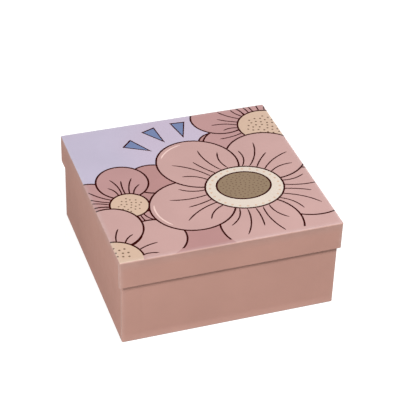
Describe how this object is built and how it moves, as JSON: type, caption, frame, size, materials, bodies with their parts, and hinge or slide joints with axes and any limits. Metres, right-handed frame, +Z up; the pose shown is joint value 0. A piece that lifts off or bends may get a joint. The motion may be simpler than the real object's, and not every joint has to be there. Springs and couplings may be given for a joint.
{
  "type": "flower gift box",
  "caption": "Square set-up gift box for flowers: a paper-wrapped greyboard base and a lift-off lid with a flower-printed top.",
  "frame": {"origin": "centre of the base's underside, on the surface that the box stands on", "axes": "+Z up, from the base to the lid; +X to the right and -Y towards the viewer, along the square's sides"},
  "size_m": [0.22, 0.22, 0.0979],
  "materials": {
    "greyboard": "matt, short grey fibres",
    "lining_paper": "matt uncoated white paper",
    "outer_paper": "matt laminated dusty-pink art paper",
    "printed_paper": "matt laminated art paper, printed with flowers",
    "stay_tape": "gummed kraft paper tape"
  },
  "bodies": {
    "base": {"base_board": "greyboard", "base_lining": "lining_paper", "base_wrap": "outer_paper", "base_corner_stay_back_right": "stay_tape", "base_corner_stay_back_left": "stay_tape", "base_corner_stay_front_left": "stay_tape", "base_corner_stay_front_right": "stay_tape"},
    "lid": {"lid_board": "greyboard", "lid_lining": "lining_paper", "lid_wrap": "printed_paper", "lid_corner_stay_back_right": "stay_tape", "lid_corner_stay_back_left": "stay_tape", "lid_corner_stay_front_left": "stay_tape", "lid_corner_stay_front_right": "stay_tape"}
  },
  "joints": [
    {"name": "lid_lift", "type": "slide", "parent": "base", "child": "lid", "axis": [0, 0, 1], "range_m": [0, 0.12]}
  ]
}
